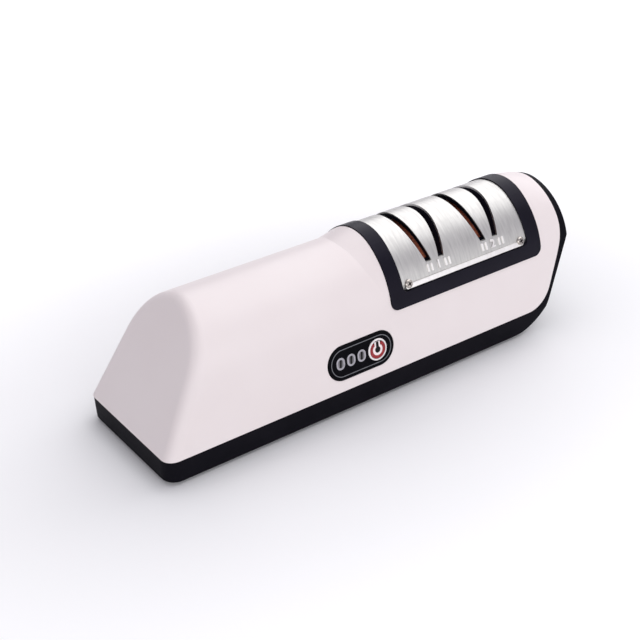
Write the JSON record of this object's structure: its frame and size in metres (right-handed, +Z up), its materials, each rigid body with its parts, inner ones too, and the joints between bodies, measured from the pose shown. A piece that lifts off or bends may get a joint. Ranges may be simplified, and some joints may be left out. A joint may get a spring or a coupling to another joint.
{
  "type": "electric knife sharpener",
  "caption": "Cordless knife sharpener: arched housing with tilted slots over motor-driven abrasive wheels, a slotted steel cover and a side power button.",
  "frame": {"origin": "centre of the bounding box on the plane of the rubber feet", "axes": "+X along the body towards the grinding head, +Y from the panel side to the back, +Z up"},
  "size_m": [0.203, 0.0586, 0.0612],
  "materials": {
    "white_housing": "moulded, semi-gloss",
    "black_tray": "moulded, satin",
    "black_saddle": "moulded, semi-gloss",
    "cover_steel": "brushed round the arch",
    "screw_steel": "bright plated",
    "panel_black": "polished",
    "ring_white": "moulded",
    "button_black": "printed",
    "switch_black": "moulded",
    "board_green": "solder mask",
    "led_body": "clear",
    "motor_steel": "zinc plated",
    "terminal_brass": "tinned",
    "plate_steel": "rolled sheet",
    "shaft_steel": "ground",
    "coupling_rubber": "moulded",
    "fine_abrasive": "bonded grit, fine",
    "coarse_abrasive": "bonded grit, coarse",
    "hub_plastic": "glass-filled",
    "bush_bronze": "sintered",
    "cell_sleeve": "shrink sleeve",
    "inlet_steel": "drawn shell",
    "foot_rubber": "moulded",
    "lens_grey": "translucent"
  },
  "bodies": {
    "housing": {"battery_cell_1": "cell_sleeve", "battery_cell_2": "cell_sleeve", "battery_straps": "plate_steel", "blade_guide": "black_saddle", "board_screws": "screw_steel", "button_ring": "ring_white", "cap_screws": "screw_steel", "charge_board": "board_green", "charge_screws": "screw_steel", "control_board": "board_green", "control_panel": "panel_black", "cover_screws": "screw_steel", "drive_bearing": "bush_bronze", "drive_bearing_cap": "black_tray", "end_bearing": "bush_bronze", "end_bearing_cap": "black_tray", "foot_1": "foot_rubber", "foot_2": "foot_rubber", "foot_3": "foot_rubber", "foot_4": "foot_rubber", "housing_screws": "screw_steel", "indicator_leds": "led_body", "indicator_lens_1": "lens_grey", "indicator_lens_2": "lens_grey", "indicator_lens_3": "lens_grey", "lower_housing": "black_tray", "motor_can": "motor_steel", "motor_end_cap": "switch_black", "motor_plate": "plate_steel", "motor_screws": "screw_steel", "motor_terminals": "terminal_brass", "steel_cover": "cover_steel", "switch_body": "switch_black", "upper_housing": "white_housing", "usb_inlet": "inlet_steel"},
    "wheels": {"motor_shaft": "shaft_steel", "shaft_coupling": "coupling_rubber", "wheel_shaft": "shaft_steel", "fine_wheel": "fine_abrasive", "coarse_wheel": "coarse_abrasive", "fine_hub": "hub_plastic", "coarse_hub": "hub_plastic", "wheel_spacer": "hub_plastic", "lock_collar": "shaft_steel", "shaft_clip": "plate_steel"},
    "button": {"power_button": "button_black", "switch_plunger": "switch_black"}
  },
  "joints": [
    {"name": "wheel_spin", "type": "hinge", "parent": "housing", "child": "wheels", "pos_m": [0.03, 0, 0.0353], "axis": [1, 0, 0], "continuous": true},
    {"name": "button_press", "type": "slide", "parent": "housing", "child": "button", "axis": [0, 0.9829, -0.184], "range_m": [0, 0.0005], "stiffness_N_per_m": 2500, "springref_m": -0.0004}
  ]
}
